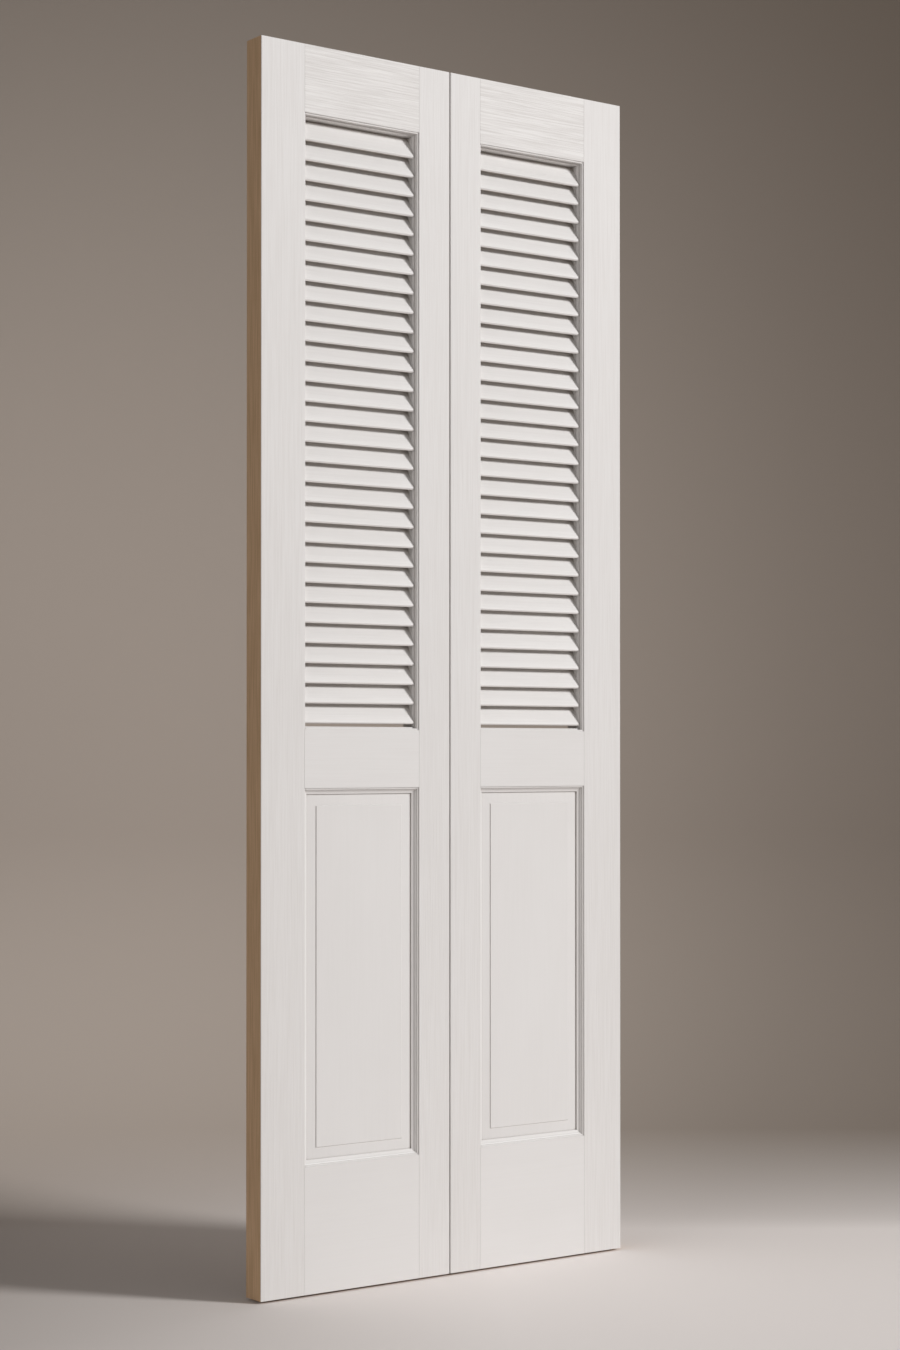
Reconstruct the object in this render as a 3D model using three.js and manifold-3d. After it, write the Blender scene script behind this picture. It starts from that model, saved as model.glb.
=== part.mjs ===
// Pair of louvred double-action swing doors on concealed pivots, in millimetres, +Z up.
// Origin: on the floor, at the centre of the meeting gap, in the middle of the leaf thickness.
// X runs across the doorway, the front faces -Y. The right leaf is the mirror image of the left one.
import * as THREE from "three";
import { mergeVertices } from "three/addons/utils/BufferGeometryUtils.js";
import Module from "manifold-3d";

// Leaf
const leafHeight = 2007;
const leafWidth = 370;
const leafThickness = 44.5;
const meetingGap = 2.2;
const hingeStileFace = 82;
const meetingStileFace = 62;
const topRailFace = 110;
const midRailFace = 94.5;
const bottomRailFace = 204;
const panelOpeningHeight = 607;
const arrisRadius = 1.5;

// Moulded inner edge of stiles and rails, and the groove behind it
const quirkDepth = 1.8;
const beadWidth = 2.8;
const beadRadius = 0.9;
const filletDepth = 9;
const filletWidth = 2.2;
const grooveWidth = 12.5;
const grooveDepth = 12;

// Raised panel
const panelFieldThickness = 22;
const panelMargin = 31.5;
const panelShoulder = 1.5;
const panelExpansionGap = 1.5;

// Louvre
const slatPitch = 32.4;
const slatWidth = 41;
const slatThickness = 6.5;
const slatSlope = 60;
const slatSetback = 7.5;
const slatSillGap = 4.5;
const slatStripBite = 0.5;

// Pivots, on the centre line of the hinge stile's face
const pivotInset = 41;
const plateLength = 60;
const plateWidth = 20;
const plateCornerRadius = 4;
const floorPlateThickness = 2.5;
const headPlateThickness = 3;
const headGap = 0.8;
const screwSpacing = 44;
const screwHoleRadius = 2.2;
const washerRadius = 9;
const washerThickness = 1.2;
const spindleRadius = 4;
const spindleSetback = 2;
const barrelRadius = 10;
const barrelWall = 1.5;
const barrelFloor = 3;
const barrelLength = 90;
const bushLength = 10;
const centringWireRadius = 1.2;
const centringTurns = 14;
const centringPitch = 4.2;
const pinRadius = 4;
const pinChamfer = 1;
const pinCollarRadius = 6;
const pinCollarThickness = 3;
const pinTailRadius = 3;
const pinTailLength = 16;
const housingRadius = 8;
const housingWall = 1.5;
const housingCap = 3;
const pinSpringLength = 28;
const pinSpringWireRadius = 0.7;
const pinSpringTurns = 7;

// Clearances
const jointGap = 0.3;
const runningGap = 0.1;
const seatGap = 0.05;
const borePast = 1;

// Facets
const roundSegments = 24;
const arcSegments = 4;
const cornerSegments = 2;
const coilSteps = 8;
const coilSides = 5;

// Levels and places that follow from the sizes above
const leafBottom = floorPlateThickness + washerThickness + 2 * seatGap;
const leafTop = leafBottom + leafHeight;
const edgeWidth = beadWidth + filletWidth;
const grooveFront = (leafThickness - grooveWidth) / 2;
const panelBottom = leafBottom + bottomRailFace;
const panelTop = panelBottom + panelOpeningHeight;
const louvreBottom = panelTop + midRailFace;
const louvreTop = leafTop - topRailFace;
const openingLeft = hingeStileFace;
const openingRight = leafWidth - meetingStileFace;
const front = -leafThickness / 2;

const paintedWood = { color: 0xdedad7, roughness: 0.5, metalness: 0 };
const steel = { color: 0xa9a9a6, roughness: 0.4, metalness: 1 };
const springSteel = { color: 0x6f7072, roughness: 0.35, metalness: 1 };
const brass = { color: 0xb5935a, roughness: 0.35, metalness: 1 };
const nylon = { color: 0xe7e4da, roughness: 0.55, metalness: 0 };

const wasm = await Module();
wasm.setup();

// A closed geometry as a solid for joining and cutting.
function solid(geometry) {
  const bare = geometry.clone();
  bare.deleteAttribute("normal");
  bare.deleteAttribute("uv");
  const merged = mergeVertices(bare, 1e-4);
  return new wasm.Manifold(
    new wasm.Mesh({
      numProp: 3,
      vertProperties: new Float32Array(merged.attributes.position.array),
      triVerts: new Uint32Array(merged.index.array),
    }),
  );
}

// A solid back as a geometry.
function geometryOf(shape) {
  const mesh = shape.getMesh();
  const geometry = new THREE.BufferGeometry();
  geometry.setAttribute("position", new THREE.BufferAttribute(mesh.vertProperties, 3));
  geometry.setIndex(new THREE.BufferAttribute(mesh.triVerts, 1));
  geometry.computeVertexNormals();
  return geometry;
}

function extrude(shape, length) {
  return new THREE.ExtrudeGeometry(shape, {
    depth: length,
    bevelEnabled: false,
    curveSegments: cornerSegments,
  });
}

// An outline in Y and Z, drawn along X from x0 to x1.
function extrudeAlongX(shape, x0, x1) {
  const turn = new THREE.Matrix4().makeBasis(
    new THREE.Vector3(0, 1, 0),
    new THREE.Vector3(0, 0, 1),
    new THREE.Vector3(1, 0, 0),
  );
  return extrude(shape, x1 - x0).applyMatrix4(turn).translate(x0, 0, 0);
}

// A turned piece about the Z axis, from [radius, height] pairs that close on themselves or on the axis.
function turned(outline) {
  const points = outline.map(([radius, height]) => new THREE.Vector2(radius, height));
  return new THREE.LatheGeometry(points, roundSegments).rotateX(Math.PI / 2);
}

function rod(radius, bottom, top) {
  return turned([
    [0, bottom],
    [radius, bottom],
    [radius, top],
    [0, top],
  ]);
}

function ring(inner, outer, bottom, top) {
  return turned([
    [inner, bottom],
    [outer, bottom],
    [outer, top],
    [inner, top],
    [inner, bottom],
  ]);
}

// The moulded edge from the front arris to the back one, as [inward distance, Y] pairs:
// quirk, bead, wall, a flat fillet and, where a panel or strip is held, the groove.
function mouldedEdge(grooved) {
  const half = [
    [0, 0],
    [0, quirkDepth],
  ];
  for (let i = 0; i <= arcSegments; i++) {
    const angle = (Math.PI / 2) * (i / arcSegments);
    half.push([
      beadWidth - beadRadius + beadRadius * Math.sin(angle),
      quirkDepth + beadRadius - beadRadius * Math.cos(angle),
    ]);
  }
  half.push([beadWidth, filletDepth], [edgeWidth, filletDepth]);
  if (grooved) half.push([edgeWidth, grooveFront], [edgeWidth - grooveDepth, grooveFront]);
  const toFront = half.map(([inward, depth]) => [inward, front + depth]);
  const toBack = half.map(([inward, depth]) => [inward, -front - depth]).reverse();
  return [...toFront, ...toBack];
}

// A stile: plain eased outer edge at x = 0 and a moulded, grooved inner edge.
function stileOutline(faceWidth) {
  const shape = new THREE.Shape();
  shape.moveTo(arrisRadius, front);
  for (const [inward, y] of mouldedEdge(true)) shape.lineTo(faceWidth + inward, y);
  shape.lineTo(arrisRadius, -front);
  shape.absarc(arrisRadius, -front - arrisRadius, arrisRadius, Math.PI / 2, Math.PI, false);
  shape.absarc(arrisRadius, front + arrisRadius, arrisRadius, Math.PI, Math.PI * 1.5, false);
  return shape;
}

function hingeStileBlank() {
  return extrude(stileOutline(hingeStileFace), leafHeight).translate(0, 0, leafBottom);
}

function meetingStileBlank() {
  return extrude(stileOutline(meetingStileFace), leafHeight)
    .rotateZ(Math.PI)
    .translate(leafWidth, 0, leafBottom);
}

function pivotHole(radius, bottom, top) {
  return solid(rod(radius, bottom, top).translate(pivotInset, 0, 0));
}

// The hinge stile, bored at both ends for the concealed pivots.
function hingeStile() {
  const boreTop = leafBottom + barrelLength + jointGap;
  const lowerBore = pivotHole(barrelRadius + jointGap, leafBottom - borePast, boreTop);
  const upperBore = pivotHole(housingRadius + jointGap, housingBottom, leafTop + borePast);
  return geometryOf(solid(hingeStileBlank()).subtract(lowerBore).subtract(upperBore));
}

// A rail's section in Y and Z. An edge is "moulded", "grooved" (moulded with a groove) or "plain".
function railOutline(bottom, top, lowerEdge, upperEdge) {
  const shape = new THREE.Shape();
  const lower = lowerEdge === "plain" ? [[0, front], [0, -front]] : mouldedEdge(lowerEdge === "grooved");
  const upper = upperEdge === "plain" ? [[0, front], [0, -front]] : mouldedEdge(upperEdge === "grooved");
  const outline = [
    ...lower.map(([outward, y]) => [y, bottom - outward]),
    ...upper.reverse().map(([outward, y]) => [y, top + outward]),
  ];
  outline.forEach(([y, z], i) => (i ? shape.lineTo(y, z) : shape.moveTo(y, z)));
  return shape;
}

// A rail reaches into both stiles' grooves with stub tenons, and its ends are coped over their moulding.
function rail(bottom, top, lowerEdge, upperEdge) {
  const reach = grooveDepth - edgeWidth - jointGap;
  const outline = railOutline(bottom, top, lowerEdge, upperEdge);
  let shape = solid(extrudeAlongX(outline, openingLeft - reach, openingRight + reach));
  for (const slip of [-jointGap, jointGap]) {
    shape = shape.subtract(solid(hingeStileBlank().translate(jointGap, slip, 0)));
    shape = shape.subtract(solid(meetingStileBlank().translate(-jointGap, slip, 0)));
  }
  return geometryOf(shape);
}

// Rectangular rings joined into one closed solid. A ring is [inset from the opening, Y].
function panelLoft(rings) {
  const positions = [];
  const faces = [];
  for (const [inset, y] of rings) {
    const left = openingLeft + inset;
    const right = openingRight - inset;
    const bottom = panelBottom + inset;
    const top = panelTop - inset;
    positions.push(left, y, bottom, right, y, bottom, right, y, top, left, y, top);
  }
  for (let ringIndex = 0; ringIndex < rings.length - 1; ringIndex++) {
    for (let corner = 0; corner < 4; corner++) {
      const a = ringIndex * 4 + corner;
      const b = ringIndex * 4 + ((corner + 1) % 4);
      faces.push(a, a + 4, b, b, a + 4, b + 4);
    }
  }
  const last = (rings.length - 1) * 4;
  faces.push(0, 1, 2, 0, 2, 3);
  faces.push(last, last + 2, last + 1, last, last + 3, last + 2);
  const geometry = new THREE.BufferGeometry();
  geometry.setAttribute("position", new THREE.Float32BufferAttribute(positions, 3));
  geometry.setIndex(faces);
  geometry.computeVertexNormals();
  return geometry;
}

// The panel: a raised field, a small shoulder, a sloped margin and a tongue in the groove, alike on both faces.
function raisedPanel() {
  const field = panelFieldThickness / 2;
  const tongue = grooveWidth / 2 - jointGap;
  const tongueEdge = edgeWidth - grooveDepth + panelExpansionGap;
  const half = [
    [panelMargin, field],
    [panelMargin, field - panelShoulder],
    [edgeWidth + jointGap, tongue],
    [tongueEdge, tongue],
  ];
  const toFront = half.map(([inset, y]) => [inset, -y]);
  const toBack = [...half].reverse();
  return panelLoft([...toFront, ...toBack]);
}

// One slat's section: a flat strip with round edges, sloping down towards the front.
function slatOutline(lowest) {
  const slope = THREE.MathUtils.degToRad(slatSlope);
  const radius = slatThickness / 2;
  const run = slatWidth - slatThickness;
  const noseY = front + slatSetback + radius;
  const noseZ = lowest + radius;
  const tailY = noseY + run * Math.cos(slope);
  const tailZ = noseZ + run * Math.sin(slope);
  const shape = new THREE.Shape();
  shape.absarc(noseY, noseZ, radius, slope + Math.PI / 2, slope + Math.PI * 1.5, false);
  shape.absarc(tailY, tailZ, radius, slope - Math.PI / 2, slope + Math.PI / 2, false);
  return shape;
}

// As many slats as the opening takes at their pitch, with the first one just above the sill.
function slatLevels() {
  const slope = THREE.MathUtils.degToRad(slatSlope);
  const rise = slatThickness + (slatWidth - slatThickness) * Math.sin(slope);
  const lowest = louvreBottom + edgeWidth + slatSillGap;
  const highest = louvreTop - edgeWidth - jointGap - rise;
  const count = Math.floor((highest - lowest) / slatPitch) + 1;
  return Array.from({ length: count }, (_, i) => lowest + i * slatPitch);
}

// The louvre: slats let into a strip at each end, and the strips sit in the stiles' grooves.
function louvre() {
  const slatLeft = openingLeft + edgeWidth + jointGap;
  const slatRight = openingRight - edgeWidth - jointGap;
  const stripDepth = grooveDepth + slatStripBite;
  const stripHalf = grooveWidth / 2 - jointGap;
  const stripBottom = louvreBottom + edgeWidth + jointGap;
  const stripHeight = louvreTop - louvreBottom - 2 * (edgeWidth + jointGap);
  const strip = new THREE.BoxGeometry(stripDepth, 2 * stripHalf, stripHeight);
  strip.translate(0, 0, stripBottom + stripHeight / 2);
  const middle = stripDepth / 2 - slatStripBite;
  let shape = solid(strip.clone().translate(slatLeft - middle, 0, 0));
  shape = shape.add(solid(strip.translate(slatRight + middle, 0, 0)));
  for (const lowest of slatLevels()) {
    shape = shape.add(solid(extrudeAlongX(slatOutline(lowest), slatLeft, slatRight)));
  }
  return geometryOf(shape);
}

// A screwed pivot plate with rounded corners, lying flat, with its two screw holes and an optional pin hole.
function plate(bottom, thickness, pinHoleRadius) {
  const shape = new THREE.Shape();
  const x = plateLength / 2;
  const y = plateWidth / 2;
  const r = plateCornerRadius;
  shape.moveTo(x - r, -y);
  shape.quadraticCurveTo(x, -y, x, r - y);
  shape.lineTo(x, y - r);
  shape.quadraticCurveTo(x, y, x - r, y);
  shape.lineTo(r - x, y);
  shape.quadraticCurveTo(-x, y, -x, y - r);
  shape.lineTo(-x, r - y);
  shape.quadraticCurveTo(-x, -y, r - x, -y);
  for (const side of [-1, 1]) {
    const screw = new THREE.Path();
    screw.absarc((side * screwSpacing) / 2, 0, screwHoleRadius, 0, Math.PI * 2, true);
    shape.holes.push(screw);
  }
  if (pinHoleRadius) {
    const hole = new THREE.Path();
    hole.absarc(0, 0, pinHoleRadius, 0, Math.PI * 2, true);
    shape.holes.push(hole);
  }
  const geometry = new THREE.ExtrudeGeometry(shape, {
    depth: thickness,
    bevelEnabled: false,
    curveSegments: roundSegments / 2,
  });
  return geometry.translate(0, 0, bottom);
}

// Floor plate with the fixed spindle that the leaf turns on.
function floorPlate() {
  const spindleTop = leafBottom + barrelLength - spindleSetback;
  const spindle = rod(spindleRadius, floorPlateThickness / 2, spindleTop);
  return geometryOf(solid(plate(0, floorPlateThickness, 0)).add(solid(spindle)));
}

const spindleBore = spindleRadius + runningGap;

// Open-topped barrel let into the foot of the hinge stile; its floor turns on the thrust washer.
function springBarrel() {
  const inner = barrelRadius - barrelWall;
  return turned([
    [spindleBore, leafBottom],
    [barrelRadius, leafBottom],
    [barrelRadius, leafBottom + barrelLength],
    [inner, leafBottom + barrelLength],
    [inner, leafBottom + barrelFloor],
    [spindleBore, leafBottom + barrelFloor],
    [spindleBore, leafBottom],
  ]);
}

// Bush in the mouth of the barrel that steadies the spindle's head.
function spindleBush() {
  const top = leafBottom + barrelLength;
  return ring(spindleBore, barrelRadius - barrelWall - jointGap, top - bushLength, top);
}

// The least clear distance between stretches of a coil that are half a turn or more apart.
function leastGap(centres, wireRadius) {
  let least = Infinity;
  centres.forEach((centre, i) => {
    for (const other of centres.slice(i + coilSteps / 2)) {
      least = Math.min(least, centre.distanceTo(other) - 2 * wireRadius);
    }
  });
  return least;
}

// A round-wire coil about the Z axis whose ends run straight up for one wire diameter.
function coil(meanRadius, wireRadius, bottom, pitch, turns) {
  const steps = Math.round(turns * coilSteps);
  const lead = 2 * wireRadius;
  const centres = [];
  for (let i = 0; i <= steps; i++) {
    const angle = (i / coilSteps) * 2 * Math.PI;
    const height = bottom + lead + wireRadius + (i / coilSteps) * pitch;
    centres.push(new THREE.Vector3(meanRadius * Math.cos(angle), meanRadius * Math.sin(angle), height));
  }
  centres.unshift(centres[0].clone().setZ(bottom));
  centres.push(centres.at(-1).clone().setZ(centres.at(-1).z + wireRadius + lead));
  const positions = [];
  const faces = [];
  centres.forEach((centre, i) => {
    const isEnd = i === 0 || i === centres.length - 1;
    const out = new THREE.Vector3(centre.x, centre.y, 0).normalize();
    const along = new THREE.Vector3(-out.y, out.x, 0);
    const up = isEnd ? along.negate() : new THREE.Vector3(0, 0, 1);
    for (let k = 0; k < coilSides; k++) {
      const angle = (k / coilSides) * 2 * Math.PI;
      const point = centre
        .clone()
        .addScaledVector(out, wireRadius * Math.cos(angle))
        .addScaledVector(up, wireRadius * Math.sin(angle));
      positions.push(point.x, point.y, point.z);
    }
  });
  for (let i = 0; i < centres.length - 1; i++) {
    for (let k = 0; k < coilSides; k++) {
      const a = i * coilSides + k;
      const b = i * coilSides + ((k + 1) % coilSides);
      faces.push(a, a + coilSides, b, b, a + coilSides, b + coilSides);
    }
  }
  const last = (centres.length - 1) * coilSides;
  for (let k = 1; k < coilSides - 1; k++) {
    faces.push(0, k, k + 1);
    faces.push(last, last + k + 1, last + k);
  }
  console.log(`least gap between turns ${leastGap(centres, wireRadius).toFixed(2)} mm`);
  const geometry = new THREE.BufferGeometry();
  geometry.setAttribute("position", new THREE.Float32BufferAttribute(positions, 3));
  geometry.setIndex(faces);
  geometry.computeVertexNormals();
  return geometry;
}

function centringSpring() {
  const meanRadius = barrelRadius - barrelWall - jointGap - centringWireRadius;
  const bottom = leafBottom + barrelFloor + jointGap;
  return coil(meanRadius, centringWireRadius, bottom, centringPitch, centringTurns);
}

// The retractable top pin: it stands in the head plate's hole and slides down into its housing.
const pinTop = leafTop + headGap + headPlateThickness;
const collarTop = leafTop - housingCap - jointGap;
const collarBottom = collarTop - pinCollarThickness;
const pinSpringTop = collarBottom - jointGap;
const housingBottom = pinSpringTop - pinSpringLength - jointGap;

function topPin() {
  return turned([
    [0, collarBottom - pinTailLength],
    [pinTailRadius, collarBottom - pinTailLength],
    [pinTailRadius, collarBottom],
    [pinCollarRadius, collarBottom],
    [pinCollarRadius, collarTop],
    [pinRadius, collarTop],
    [pinRadius, pinTop - pinChamfer],
    [pinRadius - pinChamfer, pinTop],
    [0, pinTop],
  ]);
}

function topPinHousing() {
  const inner = housingRadius - housingWall;
  return turned([
    [pinRadius + runningGap, leafTop - housingCap],
    [inner, leafTop - housingCap],
    [inner, housingBottom + jointGap],
    [housingRadius, housingBottom + jointGap],
    [housingRadius, leafTop],
    [pinRadius + runningGap, leafTop],
    [pinRadius + runningGap, leafTop - housingCap],
  ]);
}

function topPinSpring() {
  const meanRadius = housingRadius - housingWall - jointGap - pinSpringWireRadius;
  const straightEnds = 6 * pinSpringWireRadius;
  const pitch = (pinSpringLength - straightEnds) / pinSpringTurns;
  return coil(meanRadius, pinSpringWireRadius, housingBottom + jointGap, pitch, pinSpringTurns);
}

function headPlate() {
  return plate(leafTop + headGap, headPlateThickness, pinRadius + runningGap);
}

function piece(name, geometry, look) {
  const mesh = new THREE.Mesh(geometry, new THREE.MeshStandardMaterial(look));
  mesh.name = name;
  return mesh;
}

// One leaf with its pivots, its hanging edge at x = 0 and its free edge at x = leafWidth.
function leaf(side) {
  const group = new THREE.Group();
  const pivot = new THREE.Group();
  pivot.position.x = pivotInset;
  group.add(
    piece(`${side}_hinge_stile`, hingeStile(), paintedWood),
    piece(`${side}_meeting_stile`, meetingStileBlank(), paintedWood),
    piece(`${side}_top_rail`, rail(louvreTop, leafTop, "moulded", "plain"), paintedWood),
    piece(`${side}_mid_rail`, rail(panelTop, louvreBottom, "grooved", "moulded"), paintedWood),
    piece(`${side}_bottom_rail`, rail(leafBottom, panelBottom, "plain", "grooved"), paintedWood),
    piece(`${side}_raised_panel`, raisedPanel(), paintedWood),
    piece(`${side}_louvre_slats`, louvre(), paintedWood),
    pivot,
  );
  const washerBottom = floorPlateThickness + seatGap;
  pivot.add(
    piece(`${side}_floor_plate`, floorPlate(), steel),
    piece(
      `${side}_thrust_washer`,
      ring(spindleBore, washerRadius, washerBottom, washerBottom + washerThickness),
      brass,
    ),
    piece(`${side}_spring_barrel`, springBarrel(), steel),
    piece(`${side}_spindle_bush`, spindleBush(), nylon),
    piece(`${side}_centring_spring`, centringSpring(), springSteel),
    piece(`${side}_head_plate`, headPlate(), steel),
    piece(`${side}_top_pin`, topPin(), steel),
    piece(`${side}_top_pin_housing`, topPinHousing(), steel),
    piece(`${side}_top_pin_spring`, topPinSpring(), springSteel),
  );
  return group;
}

const doors = new THREE.Group();
const pairHalfWidth = leafWidth + meetingGap / 2;
const leftLeaf = leaf("left");
leftLeaf.position.x = -pairHalfWidth;
const rightLeaf = leaf("right");
rightLeaf.position.x = pairHalfWidth;
rightLeaf.scale.x = -1;
doors.add(leftLeaf, rightLeaf);

export default doors;
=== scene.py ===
"""Looks of the louvred swing doors: painted timber with bare edges, plated pivots, studio and light."""

import math

import bpy
from mathutils import Matrix, Vector


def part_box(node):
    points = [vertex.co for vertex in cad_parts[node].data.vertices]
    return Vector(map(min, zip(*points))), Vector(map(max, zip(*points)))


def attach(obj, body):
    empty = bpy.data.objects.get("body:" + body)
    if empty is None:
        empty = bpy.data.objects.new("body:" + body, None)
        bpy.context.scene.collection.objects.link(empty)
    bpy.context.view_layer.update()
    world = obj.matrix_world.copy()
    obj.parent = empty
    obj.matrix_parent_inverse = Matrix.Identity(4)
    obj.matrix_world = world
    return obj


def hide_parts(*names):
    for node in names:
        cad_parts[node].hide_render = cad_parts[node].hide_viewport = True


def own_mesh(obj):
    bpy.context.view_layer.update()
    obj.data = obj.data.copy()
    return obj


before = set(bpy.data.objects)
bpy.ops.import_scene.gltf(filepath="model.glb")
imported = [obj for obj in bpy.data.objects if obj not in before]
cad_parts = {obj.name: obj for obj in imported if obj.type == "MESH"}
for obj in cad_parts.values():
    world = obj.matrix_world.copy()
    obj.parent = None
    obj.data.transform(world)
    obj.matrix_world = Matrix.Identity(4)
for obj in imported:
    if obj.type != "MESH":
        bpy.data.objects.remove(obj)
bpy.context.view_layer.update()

SIDES = ("left", "right")

# Seeds of the noise: one for each leaf, with steps for its pieces and for the layers of a piece
SEEDS = {"left": 11, "right": 37}
RAIL_SEED = 5
PANEL_SEED = 9
SLAT_SEED = 12
BROAD_SEED = 3
PATCH_SEED = 7
MARK_SEED = 1
MOTTLE_SEED = 2
SEED_SPREAD = (1.0, 1.7, 2.3)

# Easing of edges, with widths in metres
EDGE_EASE = 0.0006
JOINT_EASE = 0.0002
METAL_EASE = 0.0003
EASE_SEGMENTS = 2
EASE_ANGLE = math.radians(32)
WELD = 0.00002

# The solids' moulded edge round the panel, and how far the panel sinks into it, in metres
EDGE_WIDTH = 0.005
SINK = 0.0002
BEAD_WALL = 0.0028
LEDGE_DEPTH = 0.009
TONGUE_DEPTH = 0.0163

# The panel's face as (in from the edge of the opening, back from the leaf's face), in metres
FIELD_EDGE = (0.0292, 0.0090)
SHOULDER_FOOT = (0.0280, 0.0106)
MARGIN_EDGE = (0.0098, 0.0114)
MOULDING_STEP = (0.0096, 0.0088)
FILLET_EDGE = (0.0086, 0.0086)
SLOPE_FOOT = (0.0060, 0.0073)
SLOPE_BEND = (0.0052, 0.0066)
SLOPE_HEAD = (0.0034, 0.0041)
RAISED_FIELD = (FIELD_EDGE, SHOULDER_FOOT, MARGIN_EDGE)
MOULDING = (MOULDING_STEP, FILLET_EDGE, SLOPE_FOOT, SLOPE_BEND, SLOPE_HEAD)

# Colours, linear
PAINT = (0.735, 0.715, 0.703)
# A lighter copy of the paint: painted light on the slats' faces, and on the top rail an offset to its
# deeper grain
PAINT_LIGHTENED = (0.795, 0.775, 0.76)
PAINT_SHADE = (0.64, 0.612, 0.592)
# Painted highlight along the arrises
PAINT_ARRIS_HIGHLIGHT = (0.87, 0.86, 0.85)
# Painted shade in recesses
CREVICE_PAINTED_SHADE = (0.155, 0.112, 0.075)
PINE = (0.63, 0.425, 0.265)
PINE_DARK = (0.48, 0.315, 0.18)
NYLON = (0.80, 0.77, 0.70)
NYLON_SHADE = (0.72, 0.69, 0.62)
FLOOR = (0.87, 0.82, 0.795)
# Painted shade on the floor: to the left, and towards the key lamp
FLOOR_PAINTED_SHADE = (0.47, 0.425, 0.395)
FLOOR_PAINTED_SHADE_NEAR_KEY = (0.183, 0.172, 0.167)
# A painted pool of light on the wall: lit near one point, unlit away from it
WALL_PAINTED_LIT = (0.54, 0.47, 0.415)
WALL_PAINTED_UNLIT = (0.135, 0.11, 0.089)
SKY = (0.82, 0.78, 0.75)
SKY_STRENGTH = 0.11

# How deep the grain shows through the paint of each piece
STILES = {"hinge_stile": 0.8, "meeting_stile": 0.8}
RAILS = {"top_rail": 1.9, "mid_rail": 0.3, "bottom_rail": 0.15}
PANEL_GRAIN = 0.2
SLAT_GRAIN = 0.4

# Noise as (cycles in a metre, stretch along the grain, detail)
FINE_GRAIN = (1400, 50, 2)
BROAD_GRAIN = (420, 45, 4)
PATCHES = (6, 2, 3)
MOTTLE = (300, 1, 3)
MARK_STRETCH = 12
MARK_DETAIL = 3
NOISE_ROUGHNESS = 0.6

# The stretch of the noise over which each look changes
GRAIN_RANGE = (0.62, 0.25)
PATCH_RANGE = (0.35, 0.75)
PINE_RANGE = (0.35, 0.65)
SATIN_RANGE = (0.2, 0.8)

# Paint: bumps as (strength at full depth, height in metres), shades as shares
COARSE_BUMP = (0.35, 0.0004)
FINE_BUMP = (0.5, 0.00025)
GRAIN_SHADE = 0.7
PATCH_SHADE = 0.2
PAINT_ROUGHNESS = (0.48, 0.60)
PAINT_GLOSS = 0.25

# Painted shade in recesses, as (reach in metres, the share of open view below which the paint darkens)
QUIRK_RECESS = (0.004, 0.58)
PANEL_RECESS = (0.007, 0.85)
SLAT_RECESS = (0.018, 0.48)
CLOSED_VIEW = 0.18
RECESS_PAINTED_SHADE = 0.9
# The painted shade fades out as a surface's normal turns up through this range of its up part
LEDGE_TILT = (0.1, 0.5)

# Painted highlight: arrises are painted lighter where the view inside the piece closes within a reach, in
# metres
ARRIS_REACH = 0.002
ARRIS_VIEW = (0.85, 0.45)
ARRIS_PAINTED_HIGHLIGHT = 0.9
VIEW_SAMPLES = 8

# How near a bare plane the timber shows, in metres, and how squarely the surface faces it
BARE_EDGE = 0.0007
BARE_FADE = 1.3
BARE_FACING = (0.80, 0.95)

# Metals as (colour, roughness, tool marks in a metre), and how far the marks change them
METALS = {
    "plated_steel": ((0.42, 0.42, 0.41), 0.38, 400),
    "oiled_wire": ((0.16, 0.16, 0.17), 0.35, 600),
    "turned_brass": ((0.46, 0.29, 0.10), 0.32, 500),
}
MARK_SHADE = 0.8
MARK_ROUGHNESS = 0.08
MARK_BUMP = (0.15, 0.0002)
NYLON_ROUGHNESS = 0.5
PAPER_ROUGHNESS = 0.8

# Lamps as (place, target, size, power), in metres and watts
LAMPS = {
    "key": ((6.5, -8.5, 5.4), (0, 0, 1.0), 2.4, 1150),
    "overhead": ((0.3, -1.3, 9.0), (0.3, -1.2, 0), 2.5, 60),
    "fill": ((-4.6, -1.2, 1.6), (0, 0, 1.0), 3.0, 45),
}

# The photograph's view, fitted to its edges
YAW = math.radians(36.23)
PITCH = math.radians(0.497)
EYE = (-2.483, -3.411, 0.868)
FOCAL_PX = 2515.4
CENTRE_DROP_PX = 58.3
IMAGE_LONG_PX = 1350
SENSOR = 36.0

# The studio, in metres along, across and up from the doors in that view
FLOOR_NEAR = -6.0
FLOOR_FAR = 0.5
STUDIO_HALF_WIDTH = 9.0
WALL_HEIGHT = 7.0
BEND_RADIUS = 0.7
BEND_STEPS = 24
# Spans across the view over which painted shade darkens the floor: to the left, and towards the key lamp
FLOOR_PAINTED_SHADE_ACROSS = (0.1, -1.0)
FLOOR_PAINTED_SHADE_TOWARD_KEY = (0.9, 6.5)
FLOOR_FADES_ALONG = (0.40, 0.88)
# A painted pool of light on the wall: its centre (across, along, up), and the distances over which it
# fades, in metres
WALL_PAINTED_LIGHT_CENTRE = (-1.0, 1.2, 0.85)
WALL_PAINTED_LIGHT_FALLOFF = (0.25, 2.95)


# Node helpers

def new_material(name):
    material = bpy.data.materials.new(name)
    material.use_nodes = True
    return material, material.node_tree, material.node_tree.nodes["Principled BSDF"]


def add(tree, kind, **settings):
    """A new node with its sockets or properties set."""
    node = tree.nodes.new(kind)
    for key, value in settings.items():
        if key in node.inputs:
            node.inputs[key].default_value = value
        else:
            setattr(node, key, value)
    return node


def mix_colour(tree, factor, first, second):
    """A colour mix: factor, first and second are sockets, or plain values for the colours."""
    node = add(tree, "ShaderNodeMix", data_type="RGBA")
    tree.links.new(factor, node.inputs[0])
    for socket, value in ((node.inputs[6], first), (node.inputs[7], second)):
        if isinstance(value, tuple):
            socket.default_value = (*value, 1)
        else:
            tree.links.new(value, socket)
    return node.outputs[2]


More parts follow.
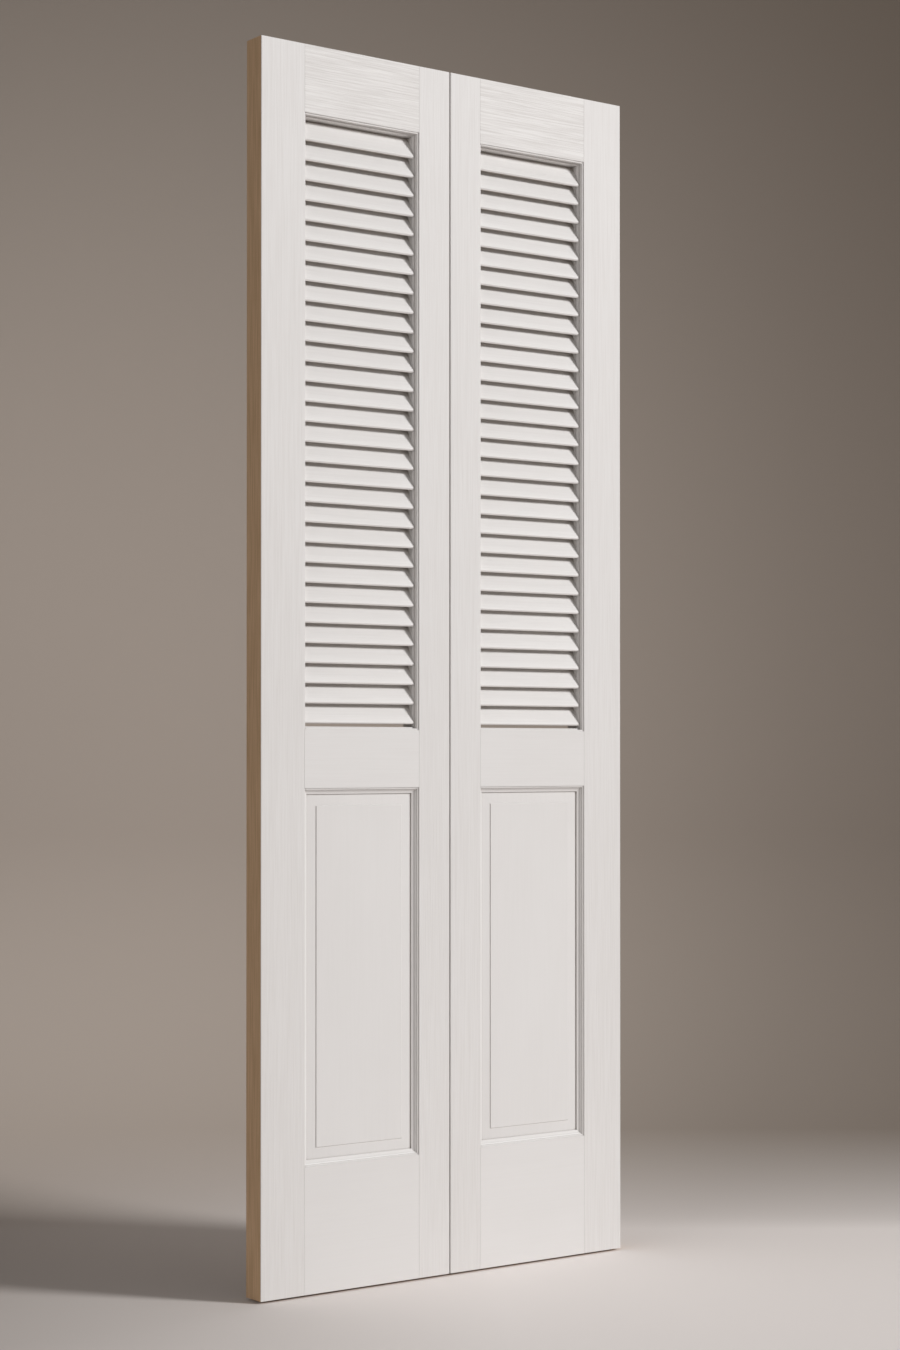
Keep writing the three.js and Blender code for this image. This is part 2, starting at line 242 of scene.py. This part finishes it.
def ramp(tree, value, low, high, first=0.0, last=1.0, kind="LINEAR"):
    """The value's stretch from low to high, as first to last."""
    node = add(tree, "ShaderNodeMapRange", interpolation_type=kind)
    node.inputs["From Min"].default_value = low
    node.inputs["From Max"].default_value = high
    node.inputs["To Min"].default_value = first
    node.inputs["To Max"].default_value = last
    tree.links.new(value, node.inputs["Value"])
    return node.outputs["Result"]


def multiply(tree, first, second):
    node = add(tree, "ShaderNodeMath", operation="MULTIPLY")
    tree.links.new(first, node.inputs[0])
    tree.links.new(second, node.inputs[1])
    return node.outputs["Value"]


def distance(tree, value, position):
    """How far the value is from a position, either way."""
    offset = add(tree, "ShaderNodeMath", operation="SUBTRACT")
    tree.links.new(value, offset.inputs[0])
    offset.inputs[1].default_value = position
    away = add(tree, "ShaderNodeMath", operation="ABSOLUTE")
    tree.links.new(offset.outputs["Value"], away.inputs[0])
    return away.outputs["Value"]


def own_axis(tree, output, axis):
    """One axis of the object's own place or normal."""
    place = tree.nodes.new("ShaderNodeTexCoord")
    split = tree.nodes.new("ShaderNodeSeparateXYZ")
    tree.links.new(place.outputs[output], split.inputs["Vector"])
    return split.outputs[axis]


def stretched_noise(tree, along, grain, seed):
    """Noise drawn out along one axis of the object, so that it runs with the grain."""
    scale, stretch, detail = grain
    place = tree.nodes.new("ShaderNodeTexCoord")
    mapping = tree.nodes.new("ShaderNodeMapping")
    factors = [scale, scale, scale]
    factors["XYZ".index(along)] = scale / stretch
    mapping.inputs["Scale"].default_value = factors
    mapping.inputs["Location"].default_value = [seed * part for part in SEED_SPREAD]
    tree.links.new(place.outputs["Object"], mapping.inputs["Vector"])
    noise = add(tree, "ShaderNodeTexNoise", Scale=1.0, Detail=detail, Roughness=NOISE_ROUGHNESS)
    tree.links.new(mapping.outputs["Vector"], noise.inputs["Vector"])
    return noise.outputs["Fac"]


def bump(tree, pattern, strength, height, below=None):
    """Bumps in a pattern, on top of the bumps below."""
    node = add(tree, "ShaderNodeBump", Strength=strength, Distance=height)
    tree.links.new(pattern, node.inputs["Height"])
    if below:
        tree.links.new(below, node.inputs["Normal"])
    return node.outputs["Normal"]


# Materials

# Painted highlight: the paint turns lighter along convex arrises, as if they caught the light
def paint_arris_highlights(tree, colour):
    view = add(tree, "ShaderNodeAmbientOcclusion", Distance=ARRIS_REACH, samples=VIEW_SAMPLES, inside=True)
    light = ramp(tree, view.outputs["AO"], *ARRIS_VIEW, 0.0, ARRIS_PAINTED_HIGHLIGHT)
    return mix_colour(tree, light, colour, PAINT_ARRIS_HIGHLIGHT)


# Painted shade: the paint darkens where a recess closes the view, except on ledges that face up
def paint_recess_shade(tree, colour, recess, jointed, roofed):
    reach, open_view = recess
    view = add(tree, "ShaderNodeAmbientOcclusion", Distance=reach, samples=VIEW_SAMPLES, only_local=jointed)
    shade = ramp(tree, view.outputs["AO"], open_view, CLOSED_VIEW, 0.0, RECESS_PAINTED_SHADE)
    if not roofed:
        shade = multiply(tree, shade, ramp(tree, own_axis(tree, "Normal", "Z"), *LEDGE_TILT, 1.0, 0.0))
    return mix_colour(tree, shade, colour, CREVICE_PAINTED_SHADE)


def on_plane(tree, axis, position):
    """1 where the surface lies on a plane across the axis and faces along it, else 0."""
    away = distance(tree, own_axis(tree, "Object", axis), position)
    facing = distance(tree, own_axis(tree, "Normal", axis), 0.0)
    near = ramp(tree, away, BARE_EDGE * BARE_FADE, BARE_EDGE)
    return multiply(tree, near, ramp(tree, facing, *BARE_FACING))


def painted_timber(name, along, seed, depth, recess, jointed=False, roofed=False, bare_planes=(),
                   paint=PAINT):
    """White satin paint over open grain, which shows more as its depth grows from 0.

    Recesses get painted shade and arrises a painted highlight. On a jointed piece the paint runs over the
    joints, so only its own recesses get painted shade and no arris gets a painted highlight.
    Ledges that face up are left without painted shade, unless the piece is roofed, as a slat is by the one
    above it.
    The timber is bare at each (axis, position) of bare_planes.
    """
    material, tree, shader = new_material(name)
    fine = stretched_noise(tree, along, FINE_GRAIN, seed)
    broad = stretched_noise(tree, along, BROAD_GRAIN, seed + BROAD_SEED)
    patch = stretched_noise(tree, along, PATCHES, seed + PATCH_SEED)
    pores = ramp(tree, broad, *GRAIN_RANGE, 0.0, GRAIN_SHADE * depth)
    blotches = ramp(tree, patch, *PATCH_RANGE, 0.0, PATCH_SHADE)
    colour = mix_colour(tree, pores, paint, PAINT_SHADE)
    colour = mix_colour(tree, blotches, colour, PAINT_SHADE)
    if not jointed:
        colour = paint_arris_highlights(tree, colour)
    colour = paint_recess_shade(tree, colour, recess, jointed, roofed)
    if bare_planes:
        timber = mix_colour(tree, ramp(tree, broad, *PINE_RANGE), PINE, PINE_DARK)
        for axis, position in bare_planes:
            colour = mix_colour(tree, on_plane(tree, axis, position), colour, timber)
    coarse = bump(tree, broad, COARSE_BUMP[0] * depth, COARSE_BUMP[1])
    grain = bump(tree, fine, FINE_BUMP[0] * depth, FINE_BUMP[1], coarse)
    tree.links.new(grain, shader.inputs["Normal"])
    tree.links.new(ramp(tree, fine, *SATIN_RANGE, *PAINT_ROUGHNESS), shader.inputs["Roughness"])
    tree.links.new(colour, shader.inputs["Base Color"])
    shader.inputs["Specular IOR Level"].default_value = PAINT_GLOSS
    return material


def metal(name):
    """Plated or turned metal with fine tool marks."""
    colour, roughness, mark_scale = METALS[name]
    material, tree, shader = new_material(name)
    marks = stretched_noise(tree, "X", (mark_scale, MARK_STRETCH, MARK_DETAIL), MARK_SEED)
    darker = tuple(part * MARK_SHADE for part in colour)
    tree.links.new(mix_colour(tree, marks, colour, darker), shader.inputs["Base Color"])
    worn = ramp(tree, marks, 0.0, 1.0, roughness - MARK_ROUGHNESS, roughness + MARK_ROUGHNESS)
    tree.links.new(worn, shader.inputs["Roughness"])
    tree.links.new(bump(tree, marks, *MARK_BUMP), shader.inputs["Normal"])
    shader.inputs["Metallic"].default_value = 1.0
    return material


def nylon_plastic():
    material, tree, shader = new_material("nylon")
    mottle = stretched_noise(tree, "Z", MOTTLE, MOTTLE_SEED)
    tree.links.new(mix_colour(tree, mottle, NYLON, NYLON_SHADE), shader.inputs["Base Color"])
    shader.inputs["Roughness"].default_value = NYLON_ROUGHNESS
    return material


# Dressing the solids

def ease(piece, width):
    """Softens a piece's sharp edges so that they catch the light."""
    weld = piece.modifiers.new("weld", "WELD")
    weld.merge_threshold = WELD
    bevel = piece.modifiers.new("ease", "BEVEL")
    bevel.width = width
    bevel.segments = EASE_SEGMENTS
    bevel.limit_method = "ANGLE"
    bevel.angle_limit = EASE_ANGLE
    normals = piece.modifiers.new("normals", "WEIGHTED_NORMAL")
    normals.keep_sharp = True
    piece.data.shade_smooth()


def clothe(piece, material, width):
    piece.data.materials.clear()
    piece.data.materials.append(material)
    ease(piece, width)


def dress(name, material, width):
    clothe(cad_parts[name], material, width)


def new_object(name, data):
    made = bpy.data.objects.new(name, data)
    bpy.context.scene.collection.objects.link(made)
    return made


def pin_spring(side, wire):
    """The top pin's spring, as a copy of its solid that rides on the leaf."""
    solid = f"{side}_top_pin_spring"
    coil = new_object(f"{side}_pin_coil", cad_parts[solid].data.copy())
    clothe(coil, wire, METAL_EASE)
    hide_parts(solid)
    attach(coil, f"{side}_leaf")
    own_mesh(coil)


def panel_profile(tongue):
    """One face of a panel from its raised field over the moulding to its tongue, as (inset, depth)."""
    outer, ledge, seat = BEAD_WALL - SINK, EDGE_WIDTH - SINK, LEDGE_DEPTH + SINK
    hidden = [(outer, SLOPE_HEAD[1]), (outer, seat), (ledge, seat), (ledge, TONGUE_DEPTH)]
    return [*RAISED_FIELD, *MOULDING, *hidden, (tongue, TONGUE_DEPTH)]


def loft(name, rings):
    """A closed mesh through rings of four corners each, capped at both ends."""
    verts = [corner for ring in rings for corner in ring]
    last = len(verts) - 4
    faces = [(0, 1, 2, 3), (last + 3, last + 2, last + 1, last)]
    for start in range(0, last, 4):
        for corner in range(4):
            here, beside = start + corner, start + (corner + 1) % 4
            faces.append((here, here + 4, beside + 4, beside))
    mesh = bpy.data.meshes.new(name)
    mesh.from_pydata(verts, [], faces)
    return mesh


def panel(side, material):
    """The raised panel with the moulding round it, alike on both faces, mitred at the corners."""
    solid = f"{side}_raised_panel"
    stiles = [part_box(f"{side}_{piece}") for piece in STILES]
    first, second = sorted(stiles, key=lambda box: box[0].x)
    left, right = first[1].x - EDGE_WIDTH, second[0].x + EDGE_WIDTH
    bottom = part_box(f"{side}_bottom_rail")[1].z - EDGE_WIDTH
    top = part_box(f"{side}_mid_rail")[0].z + EDGE_WIDTH
    profile = panel_profile(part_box(solid)[0].x - left)
    places = [(inset, first[0].y + depth) for inset, depth in profile]
    places += [(inset, first[1].y - depth) for inset, depth in reversed(profile)]
    rings = []
    for inset, y in places:
        low, high = bottom + inset, top - inset
        start, end = left + inset, right - inset
        rings.append([(start, y, low), (end, y, low), (end, y, high), (start, y, high)])
    name = f"{side}_moulded_panel"
    piece = new_object(name, loft(name, rings))
    clothe(piece, material, JOINT_EASE)
    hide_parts(solid)
    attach(piece, f"{side}_leaf")


def dress_leaf(side):
    low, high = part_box(f"{side}_hinge_stile")
    outer = low.x if side == "left" else high.x
    ends = (("Z", low.z), ("Z", high.z))
    bare = {"hinge_stile": (("X", outer), *ends), "meeting_stile": ends}
    seed = SEEDS[side]
    for i, (piece, depth) in enumerate(STILES.items()):
        name = f"{side}_{piece}"
        timber = painted_timber(
            name, "Z", seed + i, depth, QUIRK_RECESS, jointed=True, bare_planes=bare[piece]
        )
        dress(name, timber, EDGE_EASE)
    for i, (piece, depth) in enumerate(RAILS.items(), start=RAIL_SEED):
        name = f"{side}_{piece}"
        paint = PAINT_LIGHTENED if piece == "top_rail" else PAINT
        timber = painted_timber(
            name, "X", seed + i, depth, QUIRK_RECESS, jointed=True, bare_planes=ends, paint=paint
        )
        dress(name, timber, JOINT_EASE)
    name = f"{side}_moulded_panel"
    panel(side, painted_timber(name, "Z", seed + PANEL_SEED, PANEL_GRAIN, PANEL_RECESS))
    # The slats take the lighter paint: painted light on their faces
    name = f"{side}_louvre_slats"
    timber = painted_timber(
        name, "X", seed + SLAT_SEED, SLAT_GRAIN, SLAT_RECESS, roofed=True, paint=PAINT_LIGHTENED
    )
    dress(name, timber, EDGE_EASE)


def dress_fittings(side, plated, wire, turned, plastic):
    for piece in ("floor_plate", "head_plate", "spring_barrel", "top_pin", "top_pin_housing"):
        dress(f"{side}_{piece}", plated, METAL_EASE)
    dress(f"{side}_thrust_washer", turned, METAL_EASE)
    dress(f"{side}_spindle_bush", plastic, METAL_EASE)
    dress(f"{side}_centring_spring", wire, METAL_EASE)
    pin_spring(side, wire)


# Stage, light and camera

def seen(across, along, height):
    """A place or direction in the photograph's view, from the middle of the doors."""
    rightward = Vector((math.cos(YAW), -math.sin(YAW), 0))
    onward = Vector((math.sin(YAW), math.cos(YAW), 0))
    return rightward * across + onward * along + Vector((0, 0, height))


def measure(tree, geometry, operation, other):
    """The dot product or distance of each place and another vector."""
    node = add(tree, "ShaderNodeVectorMath", operation=operation)
    node.inputs[1].default_value = other
    tree.links.new(geometry.outputs["Position"], node.inputs[0])
    return node.outputs["Value"]


def studio_paper():
    """Pale floor into a taupe wall, which is clear from behind. Painted shade darkens the floor to the left
    and towards the key lamp, and a painted pool of light lightens the wall round a point on its left.
    """
    material, tree, shader = new_material("studio_paper")
    geometry = tree.nodes.new("ShaderNodeNewGeometry")
    across = measure(tree, geometry, "DOT_PRODUCT", seen(1, 0, 0))
    along = measure(tree, geometry, "DOT_PRODUCT", seen(0, 1, 0))
    away = measure(tree, geometry, "DISTANCE", seen(*WALL_PAINTED_LIGHT_CENTRE))
    # Painted shade: the floor darkens to the left and towards the key lamp
    floor = mix_colour(tree, ramp(tree, across, *FLOOR_PAINTED_SHADE_ACROSS), FLOOR, FLOOR_PAINTED_SHADE)
    floor = mix_colour(tree, ramp(tree, across, *FLOOR_PAINTED_SHADE_TOWARD_KEY), floor, FLOOR_PAINTED_SHADE_NEAR_KEY)
    # Painted light: the wall is lighter round a point on its left and darker away from it
    wall = mix_colour(tree, ramp(tree, away, *WALL_PAINTED_LIGHT_FALLOFF, kind="SMOOTHSTEP"), WALL_PAINTED_LIT, WALL_PAINTED_UNLIT)
    colour = mix_colour(tree, ramp(tree, along, *FLOOR_FADES_ALONG), floor, wall)
    tree.links.new(colour, shader.inputs["Base Color"])
    shader.inputs["Roughness"].default_value = PAPER_ROUGHNESS
    shader.inputs["Specular IOR Level"].default_value = 0.0
    clear = tree.nodes.new("ShaderNodeBsdfTransparent")
    either = tree.nodes.new("ShaderNodeMixShader")
    tree.links.new(geometry.outputs["Backfacing"], either.inputs["Fac"])
    tree.links.new(shader.outputs["BSDF"], either.inputs[1])
    tree.links.new(clear.outputs["BSDF"], either.inputs[2])
    tree.links.new(either.outputs["Shader"], tree.nodes["Material Output"].inputs["Surface"])
    return material


def studio():
    """A floor that sweeps up into a wall, square to the view."""
    profile = [(FLOOR_NEAR, 0.0), (FLOOR_FAR, 0.0)]
    for i in range(1, BEND_STEPS + 1):
        angle = math.pi / 2 * i / BEND_STEPS
        profile.append((FLOOR_FAR + BEND_RADIUS * math.sin(angle), BEND_RADIUS * (1 - math.cos(angle))))
    profile.append((FLOOR_FAR + BEND_RADIUS, WALL_HEIGHT))
    turn = Matrix.Rotation(-YAW, 3, "Z")
    borders = (-STUDIO_HALF_WIDTH, STUDIO_HALF_WIDTH)
    verts = [turn @ Vector((x, y, z)) for y, z in profile for x in borders]
    faces = [(2 * i, 2 * i + 1, 2 * i + 3, 2 * i + 2) for i in range(len(profile) - 1)]
    mesh = bpy.data.meshes.new("studio_sweep")
    mesh.from_pydata(verts, [], faces)
    mesh.shade_smooth()
    mesh.materials.append(studio_paper())
    sweep = new_object("studio_sweep", mesh)


def area_light(name, place, target, size, power):
    data = bpy.data.lights.new(name, "AREA")
    data.shape = "DISK"
    data.size = size
    data.energy = power
    light = new_object(name, data)
    light.location = place
    light.rotation_euler = (Vector(target) - Vector(place)).to_track_quat("-Z", "Y").to_euler()


def lights():
    for name, lamp in LAMPS.items():
        area_light(name, *lamp)
    world = bpy.data.worlds.new("studio")
    world.use_nodes = True
    background = world.node_tree.nodes["Background"]
    background.inputs["Color"].default_value = (*SKY, 1)
    background.inputs["Strength"].default_value = SKY_STRENGTH
    bpy.context.scene.world = world


def camera():
    data = bpy.data.cameras.new("camera")
    data.sensor_width = SENSOR
    data.lens = SENSOR * FOCAL_PX / IMAGE_LONG_PX
    data.shift_y = CENTRE_DROP_PX / IMAGE_LONG_PX
    eye = new_object("camera", data)
    eye.location = EYE
    eye.rotation_euler = (math.pi / 2 + PITCH, 0, -YAW)
    bpy.context.scene.camera = eye


camera()
studio()
lights()
plated_steel = metal("plated_steel")
oiled_wire = metal("oiled_wire")
turned_brass = metal("turned_brass")
bush_plastic = nylon_plastic()
for side in SIDES:
    dress_leaf(side)
    dress_fittings(side, plated_steel, oiled_wire, turned_brass, bush_plastic)
bpy.context.scene.view_settings.view_transform = "Standard"
